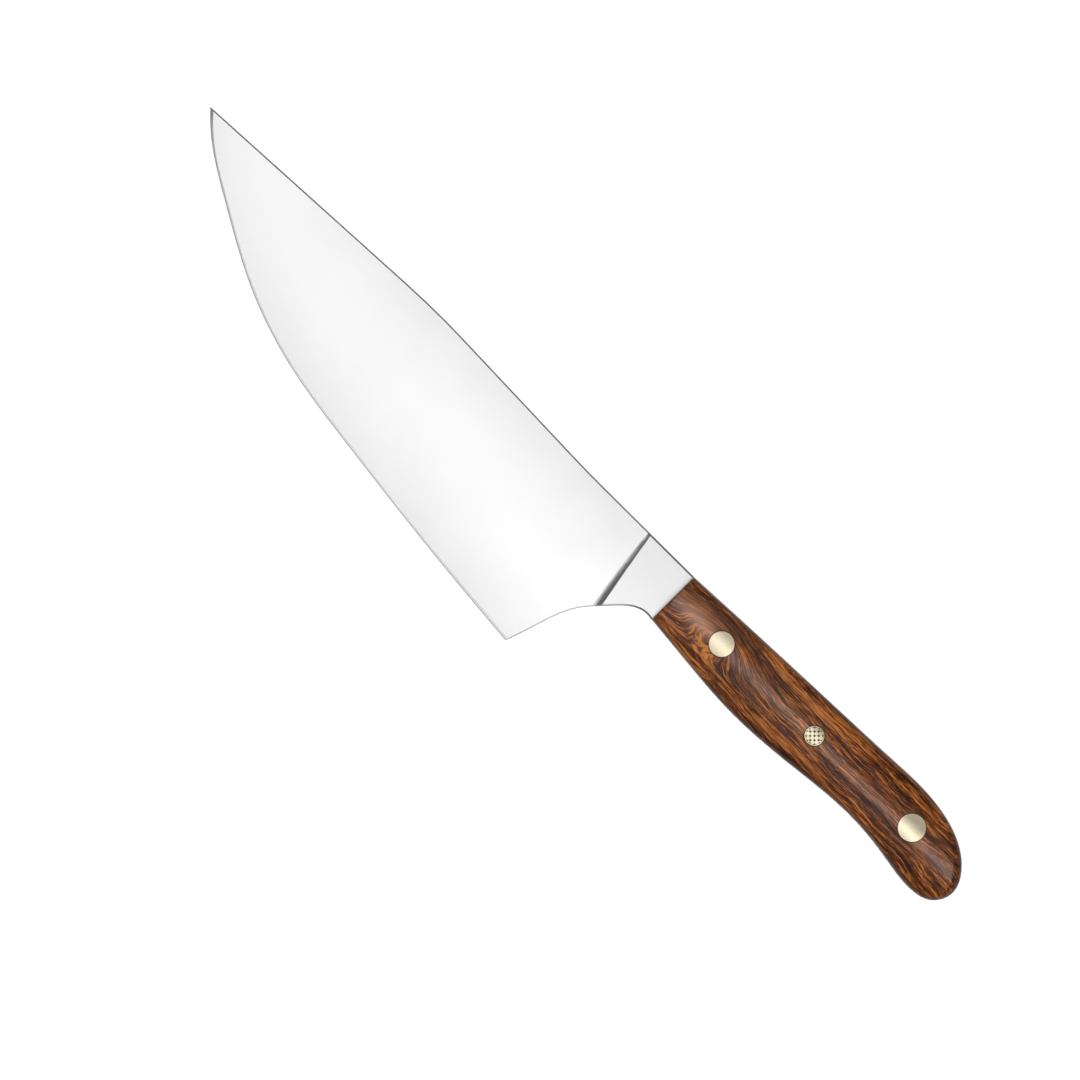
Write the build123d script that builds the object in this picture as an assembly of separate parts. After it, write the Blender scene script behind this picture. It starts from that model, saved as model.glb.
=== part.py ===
"""Full-tang chef's knife with riveted wooden handle scales.

The blade, its ricasso and the tang are one piece of steel. Two wooden scales are
glued to the tang and held by two screw rivets and one mosaic pin.

Axes while the knife is drawn: +X to the tip, +Y to the cutting edge, +Z out of the
left side. X is 0 at the front of the wood, Y is 0 at the spine and Z is 0 in the
middle of the steel. At the end everything moves so that the knife lies on its right
side, with the middle of its outline over the origin.
"""
import os
from math import atan2, degrees, sqrt

from build123d import *

os.makedirs("parts", exist_ok=True)

# Overall sizes, in millimetres
BLADE_LENGTH = 210.7            # front of the wood to the tip
HANDLE_LENGTH = 126.5           # front of the wood to the butt
HEEL_X = 27.5                   # front of the wood to the heel
HEEL_DEPTH = 55.7               # spine to the heel
TIP_DROP = 3.0                  # how far the tip lies below the line of the spine
GRIP_DEPTH = 18.95              # spine to the lower edge, at the front of the wood

# Steel
STOCK = 3.5                     # thickness of the ricasso
TANG = 3.3                      # thickness of the tang, milled a little thinner
TANG_MARGIN = 0.05              # how far that milling reaches ahead of the wood
SPINE_AT_HEEL = 2.7             # thickness of the ground blade at its spine
SPINE_AT_TIP = 0.8
GRIND_BULGE = 0.3               # swell of each side of the blade at the heel, halfway down
SHOULDER_TOP_X = 15.65          # where the grind ends, at the spine
SHOULDER_LEAN = 8.9             # degrees by which that line leans back to the handle
WHEEL_RADIUS = 5.0              # hollow that the grinding wheel leaves there
RICASSO_EASE = (0.6, 0.45)      # what is broken off its edges, across its face and down its wall
SPINE_EASE = (0.45, 0.3)        # the same for the blade's spine
CHOIL_EASE = (0.3, 0.16)        # the same for the ground part of the choil
# sharpened facets: distance from the edge and thickness of the blade, where each one begins
BEVEL_TOP = (0.65, 0.44)
MICRO_BEVEL_TOP = (0.2, 0.25)
APEX = (0, 0.04)
BEVEL_OVERRUN = 3.0             # how far past the heel and the tip it is sharpened
SPINE_BEND_RADII = [400, 300]   # at the start of the rise, and at the crest

# Where the spine bends, and the curves of the outline
SPINE_FLAT_END = (46.0, 0.2)
SPINE_CREST = (115.8, -2.0)
# cutting edge, as shares of the way from heel to tip and of the heel's depth
EDGE_SHAPE = [(0.191, 0.943), (0.429, 0.850), (0.601, 0.757), (0.737, 0.603), (0.873, 0.361), (0.958, 0.182)]
# front of the handle down to the heel, as shares of HEEL_X and of the drop between them
CHOIL_SHAPE = [(0.156, 0.0), (0.345, 0.090), (0.473, 0.192), (0.636, 0.322), (0.891, 0.755)]
# handle outline, as shares of HANDLE_LENGTH and depths below the spine line
HANDLE_TOP_SHAPE = [(0.237, -1.4), (0.490, -2.65), (0.655, -3.5), (0.745, -3.96), (0.885, -1.6), (0.966, 4.4)]
BUTT_DEPTH = 13.4
HANDLE_BELLY_SHAPE = [(0.975, 19.3), (0.917, 21.35), (0.822, 19.95), (0.692, 18.4), (0.494, 20.4)]
HANDLE_BELLY_SHAPE += [(0.296, 21.95), (0.119, 20.35)]

# Wooden scales
SCALE_INSET = 0.15              # the steel of the tang stands proud of the wood by this
SCALE_ROUNDING = 3.2
SCALE_FRONT_ROUNDING = 0.5
CROWN_MIDDLE = 8.2              # depth below the spine line of the highest part of the wood
CROWN_HALF_WIDTH = 15.0
# along the handle: share of its length, thickness of a scale at its middle and at its borders
CROWN_SHAPE = [(-0.06, 5.1, 2.2), (0.24, 5.9, 2.2), (0.49, 6.5, 2.3), (0.76, 7.9, 2.7), (1.06, 7.0, 1.8)]
GLUE_FILM = 0.1

# Rivets and pin
FRONT_RIVET_INSET = 20.75       # behind the front of the wood
FRONT_RIVET_DEPTH = 8.8
FRONT_RIVET_HEAD = 7.94
FRONT_RIVET_SLEEVE = 5.0
REAR_RIVET_INSET = 23.8         # ahead of the butt
REAR_RIVET_DEPTH = 7.4
REAR_RIVET_HEAD = 8.73
REAR_RIVET_SLEEVE = 5.6
SLEEVE_WALL = 0.9
SEAT_WOOD = 2.4                 # wood left under a rivet's head
SLEEVE_END_GAP = 0.5
BORE_INTO_HEAD = 1.2
STUD_END_GAP = 0.4
FIT = 0.04                      # clearance around pins, rivets and the screw, on the radius
MOSAIC_SHARE = 0.494            # of the way from the front rivet to the rear one
MOSAIC_DEPTH = 8.6
MOSAIC_DIAMETER = 6.1
MOSAIC_WALL = 0.26
MOSAIC_TURN = 45                # degrees
SMALL_ROD_SHARE = 0.5           # small rods, as a share of the large ones
ROD_GAP = 0.04                  # resin between neighbouring rods

# Values that follow from the sizes above
HALF_STOCK = STOCK / 2
HALF_TANG = TANG / 2
SCALE_SEAT = HALF_TANG + GLUE_FILM
HEAD_SEAT = SCALE_SEAT + SEAT_WOOD
REACH = 3 * max(thickness for _, thickness, _ in CROWN_SHAPE)
FRONT_RIVET = (-FRONT_RIVET_INSET, FRONT_RIVET_DEPTH)
REAR_RIVET = (REAR_RIVET_INSET - HANDLE_LENGTH, REAR_RIVET_DEPTH)
MOSAIC_PIN = (FRONT_RIVET[0] + MOSAIC_SHARE * (REAR_RIVET[0] - FRONT_RIVET[0]), MOSAIC_DEPTH)
HEEL = (HEEL_X, HEEL_DEPTH)
TIP = (BLADE_LENGTH, TIP_DROP)
LINE_NEARNESS = 0.05            # how near to an outline an edge that lies on it must be


def mirrored(shape):
    """The same shape on the other side of the steel."""
    return mirror(shape, about=Plane.XY)


def spine_line():
    """Upper outline of the blade, from the wood to the tip."""
    return FilletPolyline((0, 0), SPINE_FLAT_END, SPINE_CREST, TIP, radius=SPINE_BEND_RADII)


def edge_points():
    """The cutting edge from the heel to the tip, both of them included."""
    run = BLADE_LENGTH - HEEL_X
    between = [(HEEL_X + along * run, HEEL_DEPTH * down) for along, down in EDGE_SHAPE]
    return [HEEL, *between, TIP]


def choil_line():
    """Lower outline of the ricasso, from the wood to the heel."""
    drop = HEEL_DEPTH - GRIP_DEPTH
    points = [(HEEL_X * along, GRIP_DEPTH + drop * down) for along, down in CHOIL_SHAPE]
    return Spline((0, GRIP_DEPTH), *points, HEEL)


def moved_in(line, points, inset):
    """Points of a line, moved square to it by the inset, to its left as it is drawn."""
    moved = []
    for point in points:
        tangent = line.tangent_at(line.param_at_point(point))
        moved.append(Vector(*point) + Vector(tangent.Y, -tangent.X) * inset)
    return moved


def handle_line(inset=0):
    """Outline of the handle, from its front at the spine round the butt to its front below."""
    top = [(-HANDLE_LENGTH * along, depth) for along, depth in HANDLE_TOP_SHAPE]
    belly = [(-HANDLE_LENGTH * along, depth) for along, depth in HANDLE_BELLY_SHAPE]
    middle = [*top, (-HANDLE_LENGTH, BUTT_DEPTH), *belly]
    line = Spline((0, 0), *middle, (0, GRIP_DEPTH))
    if inset:
        line = Spline((0, inset), *moved_in(line, middle, inset), (0, GRIP_DEPTH - inset))
    return line


def handle_outline(inset=0):
    line = handle_line(inset)
    return make_face(line + Line(line @ 1, line @ 0))


def plate(outline, low, high):
    """A flat plate between two heights."""
    return extrude(Pos(0, 0, low) * outline, high - low)


def spine_half_thickness(x):
    along = (x - SHOULDER_TOP_X) / (BLADE_LENGTH - SHOULDER_TOP_X)
    return (SPINE_AT_HEEL + (SPINE_AT_TIP - SPINE_AT_HEEL) * along) / 2


def grind_section(x, edge_depth):
    """What is ground off one side of the blade, in the plane at x."""
    spine = spine_half_thickness(x)
    bulge = GRIND_BULGE * (edge_depth / HEEL_DEPTH) ** 2

    def side(depth):
        """A point of the blade's convex side, at some depth below the spine line."""
        share = depth / edge_depth
        flat = spine + (BEVEL_TOP[1] / 2 - spine) * share
        return (depth, flat + 4 * bulge * share * (1 - share))

    above, below = side(-edge_depth / 2), side(edge_depth * 1.5)
    high = 3 * STOCK
    outside = Polyline(below, (below[0], high), (above[0], high), above)
    plane = Plane(origin=(x, 0, 0), x_dir=(0, 1, 0), z_dir=(1, 0, 0))
    return plane * make_face(ThreePointArc(above, side(edge_depth / 2), below) + outside)


def grind():
    """Everything that is ground away on the left side, ahead of the shoulder."""
    stations = [(-HEEL_X / 2, HEEL_DEPTH), *edge_points()[:-1]]
    stations.append((BLADE_LENGTH + HEEL_X, stations[-1][1]))
    blank = loft([grind_section(x, depth) for x, depth in stations])
    shoulder = Plane(origin=(SHOULDER_TOP_X, 0, 0), z_dir=Vector(1, 0, 0).rotate(Axis.Z, SHOULDER_LEAN))
    ground = split(blank, bisect_by=shoulder, keep=Keep.TOP)
    rear_face = ground.faces().sort_by(Axis((0, 0, 0), shoulder.z_dir))[0]
    corner = rear_face.edges().sort_by(Axis.Z)[0]
    return fillet(corner, WHEEL_RADIUS)


def edge_moved_in(inset):
    """The cutting edge moved into the blade, with the straight runs beyond its ends."""
    edge = Spline(*edge_points())
    moved = moved_in(edge, edge_points(), inset)
    before = moved[0] - edge.tangent_at(0) * BEVEL_OVERRUN
    after = moved[-1] + edge.tangent_at(1) * BEVEL_OVERRUN
    return Line(before, moved[0]) + Spline(*moved) + Line(moved[-1], after)


def facet(outer, inner):
    """What sharpening one facet takes off the left side: a thin wedge along the cutting edge."""
    slope = (inner[1] - outer[1]) / 2 / (inner[0] - outer[0])
    faces = []
    for inset in (0, 2 * BEVEL_TOP[0]):
        line = edge_moved_in(inset)
        start, end = line @ 0, line @ 1
        outside = Polyline(end, (end.X, 2 * HEEL_DEPTH), (start.X, 2 * HEEL_DEPTH), start)
        height = outer[1] / 2 + slope * (inset - outer[0])
        faces.append(Pos(0, 0, height) * make_face(line + outside))
    return loft(faces, ruled=True)


def long_edges(solid, line, rear, front):
    """Edges of a solid that run along an outline, between two values of X."""
    found = []
    for edge in solid.edges():
        middle = edge @ 0.5
        near = line.distance_to(Vector(middle.X, middle.Y, 0)) < LINE_NEARNESS
        upright = abs(edge.tangent_at(0.5).Z) > 0.5
        if near and not upright and rear < middle.X < front:
            found.append(edge)
    return found


def break_edges(steel, line, rear, front, amounts):
    """Breaks both long edges along an outline, by the two amounts: across the side and down the wall."""
    across, down = amounts
    for side in (1, -1):
        edges = [edge for edge in long_edges(steel, line, rear, front) if (edge @ 0.5).Z * side > 0]
        face = side_face(steel, edges[0], side)
        steel = chamfer(edges, across, down, reference=face)
    return steel


def side_face(steel, edge, side):
    """The face of the blade's side that an edge belongs to."""
    middle = edge @ 0.5
    touching = [face for face in steel.faces() if face.distance_to(middle) < 0.001]
    return max(touching, key=lambda face: face.normal_at(middle).Z * side)


def ricasso_spine_ease():
    """What is broken off the left edge of the spine, between the wood and the grind."""
    length = SHOULDER_TOP_X + WHEEL_RADIUS
    across, down = RICASSO_EASE
    corner = Polyline((0, HALF_STOCK), (across, HALF_STOCK), (0, HALF_STOCK - down), close=True)
    slope = degrees(atan2(SPINE_FLAT_END[1], SPINE_FLAT_END[0]))
    return Rot(0, 0, slope) * extrude(Plane.YZ * make_face(corner), length)


def tang_margin():
    """What is milled off the left side just ahead of the wood."""
    size = (2 * TANG_MARGIN, 4 * GRIP_DEPTH, STOCK)
    return Pos(0, 0, HALF_TANG) * Box(*size, align=(Align.CENTER, Align.CENTER, Align.MIN))


def blade_and_tang():
    """Blade, ricasso and tang, from one bar of steel."""
    wood_front = Line((0, GRIP_DEPTH), (0, 0))
    outline = make_face(spine_line() + Spline(*edge_points()) + choil_line() + wood_front)
    steel = plate(outline, -HALF_STOCK, HALF_STOCK)
    steel = break_edges(steel, choil_line(), 0, HEEL_X, RICASSO_EASE)
    wheel = grind()
    steel = steel - wheel - mirrored(wheel)
    shoulder_end = SHOULDER_TOP_X + WHEEL_RADIUS
    steel = break_edges(steel, spine_line(), shoulder_end, BLADE_LENGTH, SPINE_EASE)
    steel = break_edges(steel, choil_line(), SHOULDER_TOP_X, HEEL_X, CHOIL_EASE)
    facets = [facet(MICRO_BEVEL_TOP, BEVEL_TOP), facet(APEX, MICRO_BEVEL_TOP)]
    for cut in (ricasso_spine_ease(), tang_margin(), *facets):
        steel = steel - cut - mirrored(cut)
    steel = steel + plate(handle_outline(), -HALF_TANG, HALF_TANG)
    for at, diameter in pin_holes():
        steel -= drill(at, diameter)
    return steel


def drill(at, diameter):
    """A round bar through the whole handle."""
    return Pos(*at) * Cylinder(diameter / 2, 2 * REACH)


def bar(at, diameter, low, high):
    """A round bar between two heights."""
    return Pos(at[0], at[1], (low + high) / 2) * Cylinder(diameter / 2, high - low)


def pin_holes():
    """Holes in the tang and in the wood under the rivets' heads."""
    return [
        (FRONT_RIVET, FRONT_RIVET_SLEEVE + 2 * FIT),
        (REAR_RIVET, REAR_RIVET_SLEEVE + 2 * FIT),
        (MOSAIC_PIN, MOSAIC_DIAMETER + 2 * FIT),
    ]


def crown():
    """A long domed body that gives the left side of the handle its rounded surface."""
    sections = []
    for along, middle, border in CROWN_SHAPE:
        plane = Plane(origin=(-HANDLE_LENGTH * along, CROWN_MIDDLE, 0), x_dir=(0, 1, 0), z_dir=(1, 0, 0))
        top = SCALE_SEAT + middle
        side = SCALE_SEAT + border
        width = CROWN_HALF_WIDTH
        dome = ThreePointArc((-width, side), (0, top), (width, side))
        base = Polyline((width, side), (width, 0), (-width, 0), (-width, side))
        sections.append(plane * make_face(dome + base))
    return loft(sections)


def left_scale():
    """The wooden scale on the left side, with its holes and its seats for the rivets' heads."""
    blank = plate(handle_outline(SCALE_INSET), SCALE_SEAT, REACH) & crown()
    rim = [edge for edge in blank.edges() if (edge @ 0.5).Z > SCALE_SEAT + SCALE_INSET]
    blank = fillet([edge for edge in rim if edge.length > 2 * GRIP_DEPTH], SCALE_ROUNDING)
    front = blank.faces().sort_by(Axis.X)[-1]
    front_rim = [edge for edge in front.edges() if (edge @ 0.5).Z > SCALE_SEAT + SCALE_ROUNDING]
    blank = fillet(front_rim, SCALE_FRONT_ROUNDING)
    for at, diameter in pin_holes():
        blank -= drill(at, diameter)
    for at, diameter in ((FRONT_RIVET, FRONT_RIVET_HEAD), (REAR_RIVET, REAR_RIVET_HEAD)):
        blank -= bar(at, diameter + 2 * FIT, HEAD_SEAT, REACH)
    return blank


def left_glue():
    """The thin film of glue between the tang and the left scale."""
    film = plate(handle_outline(SCALE_INSET), HALF_TANG, SCALE_SEAT)
    for at, diameter in pin_holes():
        film -= drill(at, diameter)
    return film


def sleeve_half(at, head, sleeve):
    """Left half of a screw rivet: a head and a sleeve that reaches through the tang."""
    bore = sleeve - 2 * SLEEVE_WALL
    solid = bar(at, head, HEAD_SEAT, REACH) & crown()
    solid += bar(at, sleeve, SLEEVE_END_GAP - HEAD_SEAT, HEAD_SEAT)
    return solid - bar(at, bore, -REACH, HEAD_SEAT + BORE_INTO_HEAD)


def stud_half(at, head, sleeve):
    """Right half of a screw rivet: a head and the stud that screws into the sleeve."""
    stud = sleeve - 2 * SLEEVE_WALL - 2 * FIT
    solid = bar(at, head, -REACH, -HEAD_SEAT) & mirrored(crown())
    return solid + bar(at, stud, -HEAD_SEAT, HEAD_SEAT + BORE_INTO_HEAD - STUD_END_GAP)


def mosaic_layout():
    """Bore of the tube, then the radius and the centres of its large and its small rods.

    Twelve large rods stand on a square grid, and the outer ones touch the bore.
    Each small rod lies in a corner between two outer rods and touches the bore.
    """
    bore = MOSAIC_DIAMETER / 2 - MOSAIC_WALL
    large = bore / (sqrt(10) + 1)
    grid = (-3 * large, -large, large, 3 * large)
    large_centres = [(x, y) for x in grid for y in grid if abs(x) + abs(y) < 5 * large]
    small = large * SMALL_ROD_SHARE
    corner = (bore - small) / sqrt(2)
    small_centres = [(x, y) for x in (-corner, corner) for y in (-corner, corner)]
    return bore, large, large_centres, small, small_centres


def through_handle(outline):
    """A pin of the given section through both scales, ground flush with the wood."""
    section = Pos(*MOSAIC_PIN) * Rot(0, 0, MOSAIC_TURN) * outline
    half = extrude(section, REACH) & crown()
    return half + mirrored(half)


def mosaic_pin():
    """Tube, rods and resin of the mosaic pin, by node."""
    bore, large, large_centres, small, small_centres = mosaic_layout()
    nodes = {"mosaic_pin_tube": through_handle(Circle(MOSAIC_DIAMETER / 2) - Circle(bore))}
    resin = Circle(bore)
    rods = [(f"mosaic_pin_rod_{i:02}", at, large) for i, at in enumerate(large_centres, 1)]
    rods += [(f"mosaic_pin_small_rod_{i}", at, small) for i, at in enumerate(small_centres, 1)]
    for node, at, radius in rods:
        outline = Pos(*at) * Circle(radius - ROD_GAP / 2)
        nodes[node] = through_handle(outline)
        resin -= outline
    nodes["mosaic_pin_resin"] = through_handle(resin)
    return nodes


def handle_parts():
    """Everything that is fastened to the steel, by node."""
    scale, glue = left_scale(), left_glue()
    front = (FRONT_RIVET, FRONT_RIVET_HEAD, FRONT_RIVET_SLEEVE)
    rear = (REAR_RIVET, REAR_RIVET_HEAD, REAR_RIVET_SLEEVE)
    nodes = {
        "left_scale": scale,
        "right_scale": mirrored(scale),
        "left_glue_film": glue,
        "right_glue_film": mirrored(glue),
        "front_rivet_sleeve_half": sleeve_half(*front),
        "front_rivet_stud_half": stud_half(*front),
        "rear_rivet_sleeve_half": sleeve_half(*rear),
        "rear_rivet_stud_half": stud_half(*rear),
    }
    nodes.update(mosaic_pin())
    return nodes


def main():
    nodes = {"blade_and_tang": blade_and_tang(), **handle_parts()}
    box = Compound(list(nodes.values())).bounding_box()
    to_origin = Pos(-(box.min.X + box.max.X) / 2, -(box.min.Y + box.max.Y) / 2, -box.min.Z)
    for node, shape in nodes.items():
        export_step(to_origin * shape, f"parts/{node}.step")


if __name__ == "__main__":
    main()
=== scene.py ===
"""Looks of a full-tang chef's knife: satin steel, figured ironwood, brass rivets and a mosaic pin.

Lengths are metres in the row's frame: +X to the tip, +Y to the cutting edge, +Z up, out of
the knife's left side. The knife's own frame, used by the materials, has its X at 0 at the
front of the wood, its Y at 0 in the middle of the handle and its Z at 0 in the middle of
the steel.
"""
from math import atan2, pi, radians

import bpy
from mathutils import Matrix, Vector


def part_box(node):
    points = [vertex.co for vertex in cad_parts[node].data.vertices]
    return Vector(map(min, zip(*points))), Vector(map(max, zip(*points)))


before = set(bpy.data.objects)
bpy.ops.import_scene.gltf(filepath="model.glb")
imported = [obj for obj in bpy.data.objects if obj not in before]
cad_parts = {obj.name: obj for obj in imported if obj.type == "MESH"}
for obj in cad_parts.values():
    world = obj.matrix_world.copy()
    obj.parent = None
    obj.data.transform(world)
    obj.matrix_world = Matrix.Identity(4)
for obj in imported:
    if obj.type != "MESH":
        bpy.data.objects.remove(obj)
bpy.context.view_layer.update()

bl_info = {
    "name": "Chef's knife finishes",
    "version": (1, 0, 0),
    "blender": (4, 5, 0),
    "location": "3D View > Sidebar > Knife",
    "description": "Gives the packed chef's knife its steel, wood and brass, and a stage to stand on",
    "category": "Object",
}

MM = 0.001
STEEL_NODE = "blade_and_tang"
SCALE_NODES = ("left_scale", "right_scale")
GLUE_NODES = ("left_glue_film", "right_glue_film")
RESIN_NODE = "mosaic_pin_resin"
RIVET_NODES = tuple(n for n in sorted(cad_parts) if "rivet" in n)
PIN_NODES = tuple(n for n in sorted(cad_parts) if "mosaic" in n and n != RESIN_NODE)
STAINING_NODES = ("mosaic_pin_tube", "front_rivet_sleeve_half", "rear_rivet_sleeve_half")


def middle_of(*nodes):
    """Centre of the box round some CAD nodes."""
    boxes = [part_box(node) for node in nodes]
    low = Vector([min(box[0][axis] for box in boxes) for axis in range(3)])
    high = Vector([max(box[1][axis] for box in boxes) for axis in range(3)])
    return (low + high) / 2


WOOD_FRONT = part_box("left_scale")[1].x
STEEL_MIDDLE = middle_of(STEEL_NODE).z
FRONT_RIVET = middle_of("front_rivet_sleeve_half")
KNIFE_ORIGIN = Vector((WOOD_FRONT, middle_of("mosaic_pin_tube").y, STEEL_MIDDLE))
STAIN_WIDTH = 0.0006
# Colour of the real dark stain round the pins and rivets, and of the painted shade on the wood's rounded
# borders.
STAIN_AND_PAINTED_SHADE_COLOUR = (0.01, 0.002, 0.001)


# ---------------------------------------------------------------- settings

class SteelSettings(bpy.types.PropertyGroup):
    colour: bpy.props.FloatVectorProperty(
        name="Steel", description="Colour of the bare steel",
        subtype="COLOR", size=3, min=0, max=1, default=(0.60, 0.60, 0.605))
    brush_spacing: bpy.props.FloatProperty(
        name="Brush spacing", description="Distance between brush lines",
        subtype="DISTANCE", unit="LENGTH", min=0.00001, default=0.00045)


class WoodSettings(bpy.types.PropertyGroup):
    dark: bpy.props.FloatVectorProperty(
        name="Dark streaks", description="Colour of the darkest wood",
        subtype="COLOR", size=3, min=0, max=1, default=(0.014, 0.005, 0.004))
    brown: bpy.props.FloatVectorProperty(
        name="Brown", description="Colour of the wood between the streaks",
        subtype="COLOR", size=3, min=0, max=1, default=(0.185, 0.045, 0.011))
    amber: bpy.props.FloatVectorProperty(
        name="Amber", description="Colour of the lightest fibres",
        subtype="COLOR", size=3, min=0, max=1, default=(0.74, 0.25, 0.052))
    # The pale colour is a painted highlight ahead of the front rivet, standing in for a reflection of the
    # lights.
    pale: bpy.props.FloatVectorProperty(
        name="Pale figure", description="Colour of the polished figure ahead of the front rivet",
        subtype="COLOR", size=3, min=0, max=1, default=(0.80, 0.38, 0.22))
    eye_height: bpy.props.FloatProperty(
        name="Eye", description="How far the grain swells round the front rivet",
        subtype="DISTANCE", unit="LENGTH", min=0, default=0.009)


class BrassSettings(bpy.types.PropertyGroup):
    colour: bpy.props.FloatVectorProperty(
        name="Brass", description="Colour of the pale brass",
        subtype="COLOR", size=3, min=0, max=1, default=(0.72, 0.635, 0.46))


class StageSettings(bpy.types.PropertyGroup):
    view_width: bpy.props.FloatProperty(
        name="View width", description="Width of what the camera sees at the knife",
        subtype="DISTANCE", unit="LENGTH", min=0.01, default=0.3375)
    lens: bpy.props.FloatProperty(
        name="Lens", description="Focal length of the camera",
        subtype="DISTANCE_CAMERA", unit="CAMERA", min=10, default=150)
    roll: bpy.props.FloatProperty(
        name="Roll", description="Turn of the camera about its line of sight",
        subtype="ANGLE", unit="ROTATION", default=radians(225))


# ---------------------------------------------------------------- shader maths

# Sockets of the Mix node when it mixes colours; those of numbers and vectors have the same names
MIX_SHARE, MIX_ONE, MIX_OTHER, MIX_RESULT = 0, 6, 7, 2


def opaque(colour):
    """A colour with its alpha."""
    return (*colour, 1)


class Wire:
    """A number or a vector between shader nodes, which can be used in expressions."""

    def __init__(self, graph, socket):
        self.graph = graph
        self.socket = socket

    def _maths(self, operation, *values):
        return self.graph.maths(operation, self, *values)

    def __add__(self, other):
        return self._maths("ADD", other)

    def __mul__(self, other):
        return self._maths("MULTIPLY", other)

    def __sub__(self, other):
        return self._maths("SUBTRACT", other)

    def __rsub__(self, other):
        return self.graph.maths("SUBTRACT", other, self)

    def __truediv__(self, other):
        return self._maths("DIVIDE", other)

    def __rtruediv__(self, other):
        return self.graph.maths("DIVIDE", other, self)

    def __pow__(self, other):
        return self._maths("POWER", other)

    def __neg__(self):
        return self._maths("MULTIPLY", -1)

    __radd__ = __add__
    __rmul__ = __mul__


class Graph:
    """The nodes of one material or world."""

    def __init__(self, owner):
        self.owner = owner
        owner.use_nodes = True
        self.tree = owner.node_tree
        self.tree.nodes.clear()

    def node(self, kind, settings=None, inputs=None):
        """A new node: its settings first, then the values and links of its sockets."""
        made = self.tree.nodes.new(kind)
        for name, value in (settings or {}).items():
            if name == "stops":
                self.set_stops(made.color_ramp, value)
            else:
                setattr(made, name, value)
        for name, value in (inputs or {}).items():
            self.feed(made.inputs[name], value)
        return made

    def feed(self, socket, value):
        """Links a wire or an output to a socket, or sets the socket's value."""
        if isinstance(value, Wire):
            value = value.socket
        if isinstance(value, bpy.types.NodeSocket):
            self.tree.links.new(value, socket)
        else:
            socket.default_value = value

    def set_stops(self, ramp, stops):
        """Gives a colour ramp its stops, each one a position and a colour."""
        while len(ramp.elements) < len(stops):
            ramp.elements.new(0.5)
        for element, (position, colour) in zip(ramp.elements, stops):
            element.position = position
            element.color = opaque(colour)

    def wire(self, node, output=0):
        """One output of a node, ready for expressions."""
        return Wire(self, node.outputs[output])

    def maths(self, operation, *values):
        """A Math node on numbers."""
        return self.wire(self.node("ShaderNodeMath", {"operation": operation}, dict(enumerate(values))))

    def vector_maths(self, operation, *values):
        """A Vector Math node."""
        settings = {"operation": operation}
        return self.wire(self.node("ShaderNodeVectorMath", settings, dict(enumerate(values))))

    def smooth(self, value, low, high):
        """0 below low, 1 above high, and a smooth step between them."""
        settings = {"interpolation_type": "SMOOTHSTEP"}
        inputs = {"Value": value, "From Min": low, "From Max": high}
        return self.wire(self.node("ShaderNodeMapRange", settings, inputs))

    def noise(self, vector, detail=2.0, roughness=0.5):
        """Noise from 0 to 1 whose cells are about one unit of the vector across."""
        inputs = {"Vector": vector, "Scale": 1.0, "Detail": detail, "Roughness": roughness}
        return self.wire(self.node("ShaderNodeTexNoise", None, inputs))

    def mix(self, share, one, other):
        """A mix of two colours: all of the first where the share is 0, all of the other where it is 1."""
        made = self.node("ShaderNodeMix", {"data_type": "RGBA"})
        self.feed(made.inputs[MIX_SHARE], share)
        for socket, value in ((MIX_ONE, one), (MIX_OTHER, other)):
            self.feed(made.inputs[socket], value if isinstance(value, Wire) else opaque(value))
        return self.wire(made, MIX_RESULT)

    def ramp(self, value, stops):
        """The colour that a colour ramp gives a value."""
        return self.wire(self.node("ShaderNodeValToRGB", {"stops": stops}, {"Fac": value}))

    def bell(self, x, y, centre, reach):
        """1 at a centre, falling smoothly to 0 over about twice the reach along X and along Y."""
        along = (x - centre[0]) / reach[0]
        across = (y - centre[1]) / reach[1]
        return self.maths("EXPONENT", -(along * along + across * across))

    def vector(self, x, y, z):
        return self.wire(self.node("ShaderNodeCombineXYZ", None, {"X": x, "Y": y, "Z": z}))

    def split(self, vector):
        """X, Y and Z of a vector."""
        parts = self.node("ShaderNodeSeparateXYZ", None, {"Vector": vector})
        return [self.wire(parts, axis) for axis in range(3)]

    def knife_point(self):
        """X, Y and Z of the shaded point in the knife's own frame, in millimetres."""
        place = self.node("ShaderNodeTexCoord").outputs["Object"]
        moved = self.vector_maths("SUBTRACT", place, tuple(KNIFE_ORIGIN))
        return self.split(self.vector_maths("MULTIPLY", moved, (1 / MM,) * 3))

    def facing_out(self):
        """How squarely the surface faces out of the knife's side: 1 on its flats, 0 on its borders."""
        upward = self.split(self.node("ShaderNodeTexCoord").outputs["Normal"])[2]
        return self.maths("ABSOLUTE", upward)

    def bump(self, height, distance):
        """A bumped normal, with the height in units of the distance, in metres."""
        inputs = {"Height": height, "Distance": distance}
        return self.wire(self.node("ShaderNodeBump", None, inputs))

    def finish(self, **inputs):
        """Ends the material with a Principled shader; the names use _ for a space."""
        named = {name.replace("_", " "): value for name, value in inputs.items()}
        shader = self.node("ShaderNodeBsdfPrincipled", None, named)
        output = self.node("ShaderNodeOutputMaterial")
        self.tree.links.new(shader.outputs[0], output.inputs["Surface"])
        return self.owner


def dimmed(colour, share):
    """A colour at a share of its brightness."""
    return [channel * share for channel in colour]


def dress(nodes, material):
    """Gives CAD nodes a material."""
    for name in nodes:
        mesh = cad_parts[name].data
        mesh.materials.clear()
        mesh.materials.append(material)


# ---------------------------------------------------------------- materials

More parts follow.
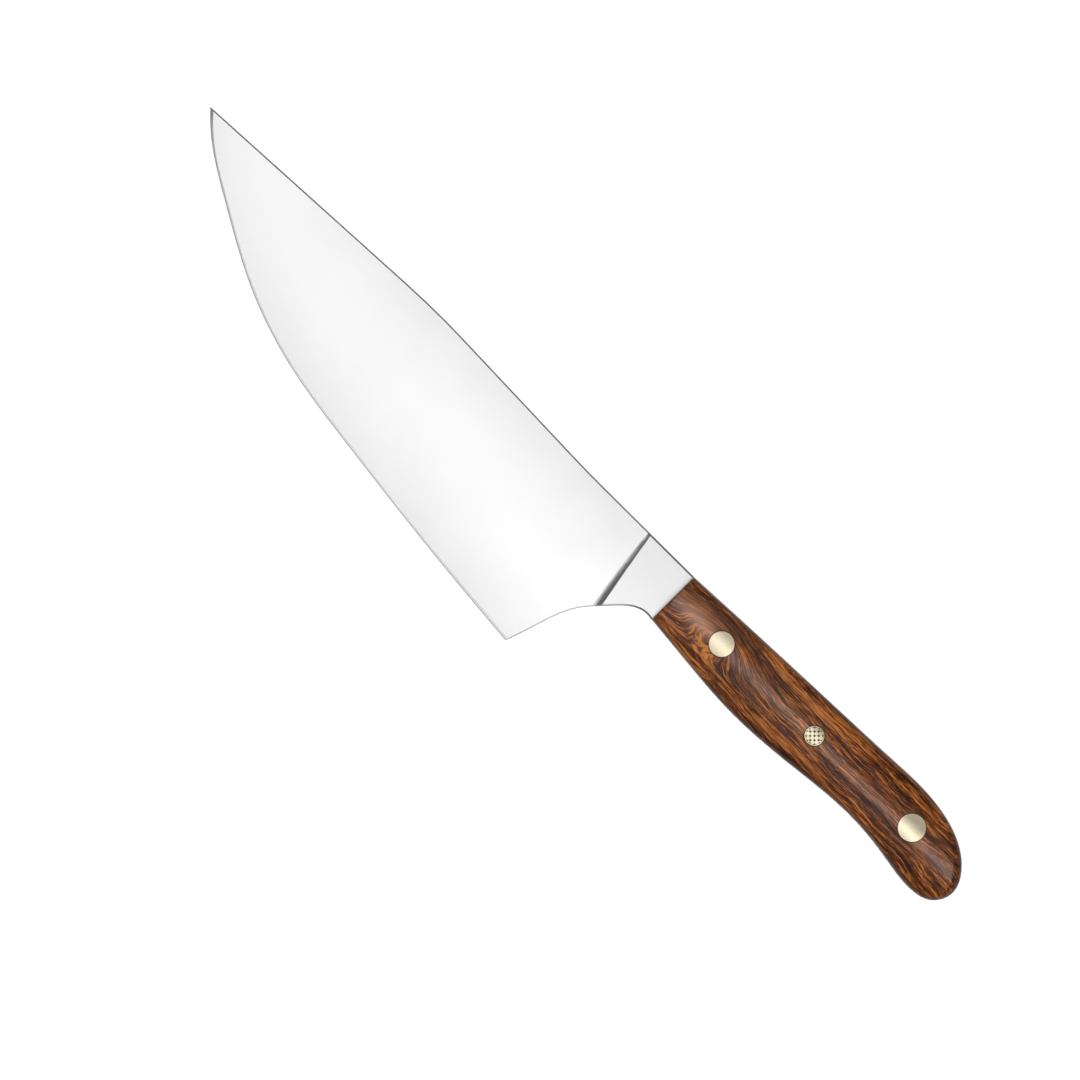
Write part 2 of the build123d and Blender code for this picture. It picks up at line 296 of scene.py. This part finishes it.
def make_steel(settings):
    """Satin steel, brushed straight across the blade."""
    graph = Graph(bpy.data.materials.new("satin_steel"))
    x, y, z = graph.knife_point()
    brush_line = x / (settings.brush_spacing / MM)
    lines = graph.noise(graph.vector(brush_line, y * 0.06, z * 0.3), detail=3.0, roughness=0.6)
    fine = graph.noise(graph.vector(brush_line * 2.7, y * 0.15, z * 0.3))
    clouds = graph.noise(graph.vector(x * 0.02, y * 0.03, z * 0.03))
    marks = lines * 0.6 + fine * 0.4
    tone = graph.smooth(marks * 0.75 + clouds * 0.25, 0.3, 0.7)
    bright = settings.colour
    return graph.finish(
        Base_Color=graph.mix(tone, dimmed(bright, 0.92), bright),
        Metallic=1.0,
        Roughness=0.24 + (marks - 0.5) * 0.10,
        Normal=graph.bump(marks, 0.000003),
    )


def wood_layer(graph, x, y, z, eye_height):
    """Depth into the wood, square to its grain, in millimetres.

    The grain follows the handle, wanders a little and swells into an eye round the front rivet.
    """
    rivet_x = (FRONT_RIVET.x - KNIFE_ORIGIN.x) / MM
    eye = graph.bell(x, y, centre=(rivet_x + 3, 0), reach=(13, 6))
    drift = graph.noise(graph.vector(x * 0.022, y * 0.05, z * 0.05)) - 0.5
    waver = graph.noise(graph.vector(x * 0.10, y * 0.12, z * 0.12)) - 0.5
    return y + x * 0.05 + eye * (eye_height / MM) + drift * 9 + waver * 1.5


def stain_rings(graph, x, y):
    """0 in the thin dark stain round each pin and rivet, 1 elsewhere."""
    clear = 1
    for node in STAINING_NODES:
        low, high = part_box(node)
        centre = (middle_of(node) - KNIFE_ORIGIN) / MM
        radius = (high.x - low.x) / 2 / MM
        away = graph.maths("SQRT", (x - centre.x) ** 2 + (y - centre.y) ** 2)
        clear = graph.smooth(away, radius, radius + STAIN_WIDTH / MM) * clear
    return clear


def make_wood(settings):
    """Polished ironwood: dark streaks between orange fibres, with painted shade where it rounds off and a
    painted highlight ahead of the front rivet.
    """
    graph = Graph(bpy.data.materials.new("polished_ironwood"))
    x, y, z = graph.knife_point()
    layer = wood_layer(graph, x, y, z, settings.eye_height)
    bands = graph.noise(graph.vector(x * 0.03, layer * 0.16, z * 0.16))
    streaks = graph.noise(graph.vector(x * 0.05, layer * 0.9, z * 0.6), detail=3.0, roughness=0.6)
    fibres = graph.noise(graph.vector(x * 0.13, layer * 3.2, z * 1.6), roughness=0.7)
    pores = graph.noise(graph.vector(x * 0.35, layer * 7.5, z * 4.0), roughness=0.6)
    value = bands * 0.18 + streaks * 0.26 + fibres * 0.31 + pores * 0.25
    tone = graph.smooth(value, 0.43, 0.60)
    grain = graph.ramp(tone, [(0.0, settings.dark), (0.45, settings.brown), (1.0, settings.amber)])
    # Painted highlight: the grain is mixed towards the pale colour in a patch ahead of the front rivet.
    painted_highlight_mask = graph.bell(x, y, centre=(-10, -0.5), reach=(8, 3.5))
    painted_highlight_figure = graph.mix(painted_highlight_mask * 0.5, grain, settings.pale)
    facing = graph.facing_out()
    # Painted shade: the wood's colour darkens towards its rounded borders, where the lights fall away.
    painted_border_shade_mask = graph.smooth(facing, 0.50, 0.96) * 0.7 + 0.3
    return graph.finish(
        Base_Color=graph.mix(painted_border_shade_mask * stain_rings(graph, x, y), STAIN_AND_PAINTED_SHADE_COLOUR, painted_highlight_figure),
        Roughness=0.34,
        Specular_IOR_Level=0.25,
        Specular_Tint=opaque((1, 0.62, 0.42)),
        Coat_Weight=graph.smooth(facing, 0.965, 0.998) * 0.45 + 0.03,
        Coat_IOR=1.7,
        Coat_Roughness=0.2,
        Normal=graph.bump(fibres * 0.5 + pores * 0.5, 0.000012),
    )


def make_brass(settings):
    """Pale brass, ground flush and finely brushed."""
    graph = Graph(bpy.data.materials.new("brushed_brass"))
    x, y, z = graph.knife_point()
    lines = graph.noise(graph.vector((x + y) * 0.35, (x - y) * 4.5, z * 0.5), detail=3.0)
    bright = settings.colour
    return graph.finish(
        Base_Color=graph.mix(graph.smooth(lines, 0.35, 0.65), dimmed(bright, 0.88), bright),
        Metallic=1.0,
        Roughness=0.30 + (lines - 0.5) * 0.1,
        Normal=graph.bump(lines, 0.000002),
    )


def make_glue():
    """Cured glue, dark amber."""
    graph = Graph(bpy.data.materials.new("cured_glue"))
    x, y, z = graph.knife_point()
    cloud = graph.noise(graph.vector(x * 0.4, y * 0.4, z))
    colour = graph.mix(graph.smooth(cloud, 0.3, 0.7), (0.020, 0.009, 0.005), (0.05, 0.022, 0.010))
    return graph.finish(Base_Color=colour, Roughness=0.4)


def make_resin():
    """Dark resin between the rods of the mosaic pin."""
    graph = Graph(bpy.data.materials.new("dark_resin"))
    x, y, z = graph.knife_point()
    specks = graph.noise(graph.vector(x * 6, y * 6, z * 6))
    colour = graph.mix(graph.smooth(specks, 0.4, 0.7), (0.006, 0.005, 0.005), (0.03, 0.022, 0.018))
    return graph.finish(Base_Color=colour, Roughness=0.5, Specular_IOR_Level=0.15)


# ---------------------------------------------------------------- stage

def make_floor_material():
    """A pale matt floor that glows a little, so that shadows stay faint."""
    graph = Graph(bpy.data.materials.new("pale_floor"))
    x, y, z = graph.knife_point()
    mottle = graph.noise(graph.vector(x * 0.01, y * 0.01, z), detail=3.0)
    colour = graph.mix(mottle, (0.34, 0.34, 0.34), (0.37, 0.37, 0.37))
    return graph.finish(
        Base_Color=colour,
        Roughness=0.9,
        Emission_Color=opaque((1, 1, 1)),
        Emission_Strength=0.90,
    )


def add_floor(size):
    """A square floor under the knife."""
    half = size / 2
    corners = [(-half, -half, 0), (half, -half, 0), (half, half, 0), (-half, half, 0)]
    mesh = bpy.data.meshes.new("floor")
    mesh.from_pydata(corners, [], [(0, 1, 2, 3)])
    floor = bpy.data.objects.new("floor", mesh)
    bpy.context.scene.collection.objects.link(floor)
    mesh.materials.append(make_floor_material())


def add_softbox(name, place, length, width, radiance, turn=0):
    """A rectangular light, tilted towards the knife, with its length turned from X by an angle."""
    light = bpy.data.lights.new(name, "AREA")
    light.shape = "RECTANGLE"
    light.size = length
    light.size_y = width
    light.energy = radiance * pi * length * width
    lamp = bpy.data.objects.new(name, light)
    bpy.context.scene.collection.objects.link(lamp)
    lamp.location = place
    lamp.rotation_euler = (-atan2(place[1], place[2]), 0, turn)


def add_camera(settings):
    """A camera straight above the middle of the knife."""
    camera = bpy.data.objects.new("camera", bpy.data.cameras.new("camera"))
    bpy.context.scene.collection.objects.link(camera)
    lens = camera.data
    lens.lens = settings.lens
    distance = settings.view_width * lens.lens / lens.sensor_width
    camera.location = (0, 0, STEEL_MIDDLE + distance)
    camera.rotation_euler = (0, 0, settings.roll)
    lens.clip_end = 20
    bpy.context.scene.camera = camera


def set_world():
    """A dim studio with pale walls: low ones all round and tall ones beyond the tip and the butt.

    Grey panels above the knife's edge and spine leave the thin chamfers dark from above.
    """
    dim, pale, panel_share = (0.1, 0.1, 0.1), (0.8, 0.8, 0.8), 0.35
    graph = Graph(bpy.data.worlds.new("studio"))
    along, across, height = graph.split(graph.node("ShaderNodeTexCoord").outputs["Generated"])
    ends = graph.smooth(graph.maths("ABSOLUTE", along), 0.45, 0.75)
    low_walls = 1 - graph.smooth(height, 0.08, 0.2)
    tall_walls = (1 - graph.smooth(height, 0.48, 0.6)) * ends
    panels = graph.smooth(height, 0.42, 0.52) * (1 - graph.smooth(height, 0.72, 0.82)) * (1 - ends)
    walls = graph.maths("MAXIMUM", graph.maths("MAXIMUM", low_walls, tall_walls), panels * panel_share)
    light = graph.node("ShaderNodeBackground", None, {"Color": graph.mix(walls, dim, pale)})
    output = graph.node("ShaderNodeOutputWorld")
    graph.tree.links.new(light.outputs[0], output.inputs["Surface"])
    bpy.context.scene.world = graph.owner


# ---------------------------------------------------------------- operators

class KNIFE_OT_steel(bpy.types.Operator):
    """Finish the blade, ricasso and tang in satin steel"""
    bl_idname = "knife.steel"
    bl_label = "Steel"

    def execute(self, context):
        dress([STEEL_NODE], make_steel(context.scene.knife_steel))
        return {"FINISHED"}


class KNIFE_OT_scales(bpy.types.Operator):
    """Finish both handle scales in polished ironwood"""
    bl_idname = "knife.scales"
    bl_label = "Wooden scales"

    def execute(self, context):
        dress(SCALE_NODES, make_wood(context.scene.knife_wood))
        return {"FINISHED"}


class KNIFE_OT_brass(bpy.types.Operator):
    """Finish the rivets and the mosaic pin's tube and rods in brass"""
    bl_idname = "knife.brass"
    bl_label = "Rivets and pin"

    def execute(self, context):
        dress(RIVET_NODES + PIN_NODES, make_brass(context.scene.knife_brass))
        return {"FINISHED"}


class KNIFE_OT_fillers(bpy.types.Operator):
    """Finish the glue films and the resin in the mosaic pin"""
    bl_idname = "knife.fillers"
    bl_label = "Glue and resin"

    def execute(self, context):
        dress(GLUE_NODES, make_glue())
        dress([RESIN_NODE], make_resin())
        return {"FINISHED"}


class KNIFE_OT_stage(bpy.types.Operator):
    """Add the floor, the studio lights and the camera"""
    bl_idname = "knife.stage"
    bl_label = "Stage"

    def execute(self, context):
        set_world()
        add_floor(size=6.0)
        add_softbox(
            "strip_softbox", (-0.3, 0.17, 2.2), length=2.2, width=0.36, radiance=2.6, turn=radians(-14))
        add_softbox("handle_softbox", (-0.86, -0.02, 2.0), length=1.18, width=0.64, radiance=1.4)
        add_softbox("edge_softbox", (0, 1.05, 1.8), length=2.6, width=0.85, radiance=1.25)
        add_softbox("spine_softbox", (0, -1.05, 1.8), length=2.6, width=0.85, radiance=0.6)
        add_camera(context.scene.knife_stage)
        return {"FINISHED"}


class KNIFE_PT_panel(bpy.types.Panel):
    """Lists the knife's operators and settings"""
    bl_label = "Chef's knife"
    bl_idname = "KNIFE_PT_panel"
    bl_space_type = "VIEW_3D"
    bl_region_type = "UI"
    bl_category = "Knife"

    def draw(self, context):
        for operator in OPERATORS:
            self.layout.operator(operator.bl_idname)
        for name in SETTINGS:
            group = getattr(context.scene, name)
            for key in group.__annotations__:
                self.layout.prop(group, key)


SETTINGS = {
    "knife_steel": SteelSettings,
    "knife_wood": WoodSettings,
    "knife_brass": BrassSettings,
    "knife_stage": StageSettings,
}
OPERATORS = (KNIFE_OT_steel, KNIFE_OT_scales, KNIFE_OT_brass, KNIFE_OT_fillers, KNIFE_OT_stage)
CLASSES = (*SETTINGS.values(), *OPERATORS, KNIFE_PT_panel)


def register():
    for made in CLASSES:
        bpy.utils.register_class(made)
    for name, group in SETTINGS.items():
        setattr(bpy.types.Scene, name, bpy.props.PointerProperty(type=group))


def unregister():
    for name in SETTINGS:
        delattr(bpy.types.Scene, name)
    for made in reversed(CLASSES):
        bpy.utils.unregister_class(made)


def main():
    register()
    bpy.context.scene.view_settings.view_transform = "Standard"
    for operator in OPERATORS:
        group, name = operator.bl_idname.split(".")
        getattr(getattr(bpy.ops, group), name)()


if __name__ == "__main__":
    main()
